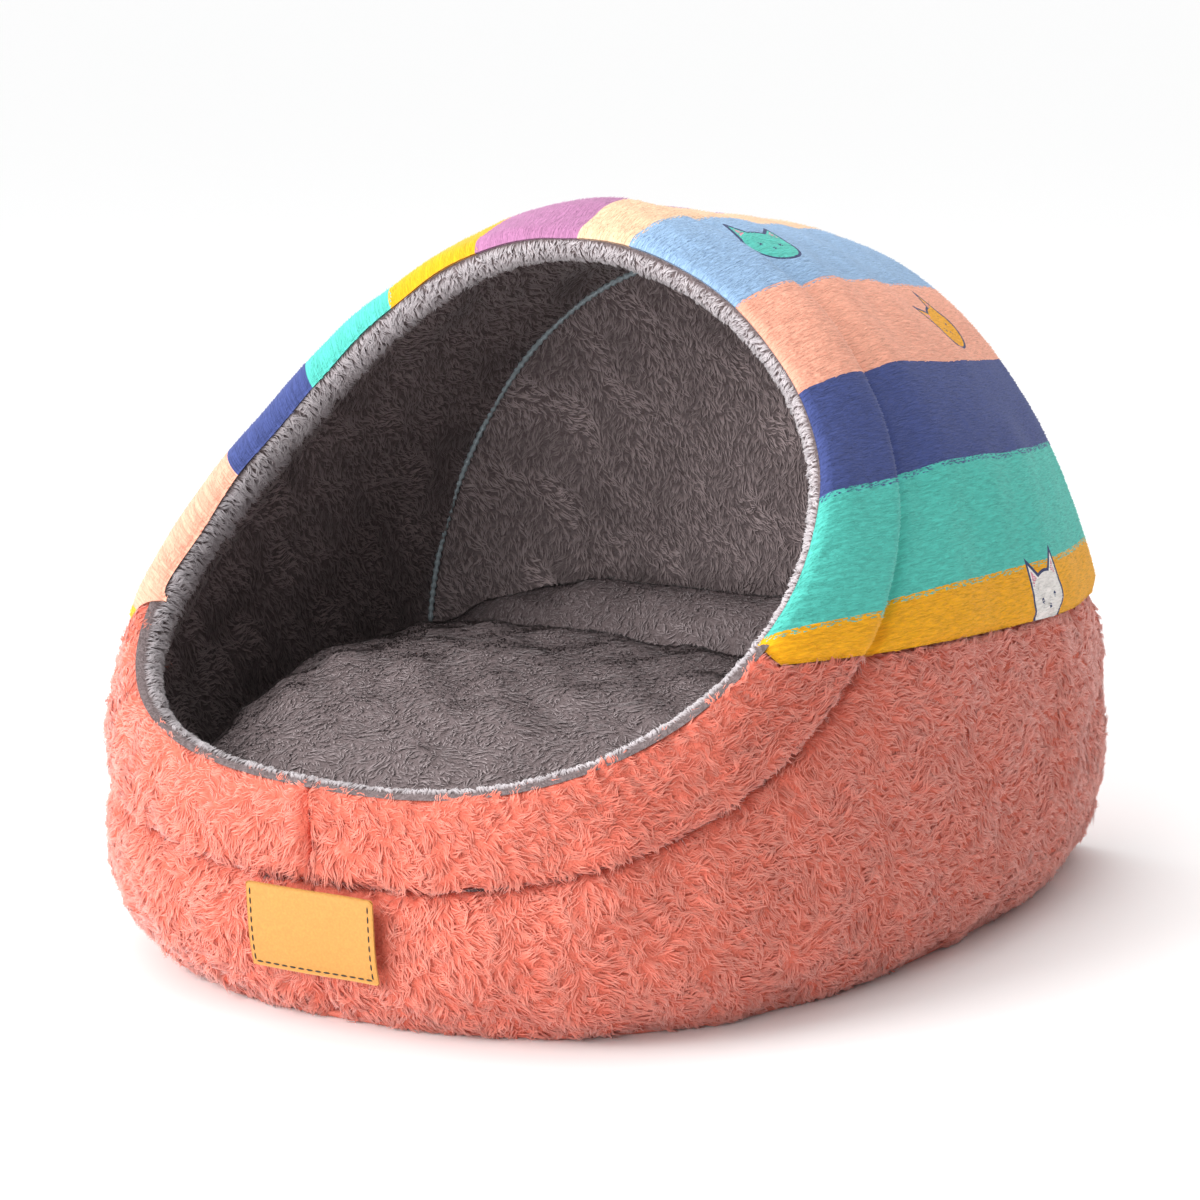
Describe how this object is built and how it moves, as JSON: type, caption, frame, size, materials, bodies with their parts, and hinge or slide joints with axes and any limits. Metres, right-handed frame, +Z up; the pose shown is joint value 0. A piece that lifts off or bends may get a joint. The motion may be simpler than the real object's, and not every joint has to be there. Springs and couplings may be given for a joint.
{
  "type": "cat cave bed",
  "caption": "Soft cave bed for a cat: padded plush walls, striped arched roof, slanted mouth with a rolled lining edge, and a loose filled cushion.",
  "frame": {"origin": "centre of the bed's footprint box, on the floor", "axes": "+Z up, -Y out of the mouth, +X to the right of someone who faces the mouth"},
  "size_m": [0.4084, 0.4555, 0.3319],
  "materials": {
    "coral_plush": "deep curly plush pile, matt",
    "striped_plush": "short velvet pile with broad stripes in several colours, matt",
    "grey_plush": "short grey plush pile, matt",
    "tan_leather": "smooth, slightly glossy"
  },
  "bodies": {
    "root": {"base_panel": "coral_plush", "wall_left": "coral_plush", "wall_right": "coral_plush", "back_panel": "coral_plush", "roof_panel": "striped_plush", "lining_wall": "grey_plush", "lining_back": "grey_plush", "cushion": "grey_plush", "label": "tan_leather"}
  },
  "joints": []
}
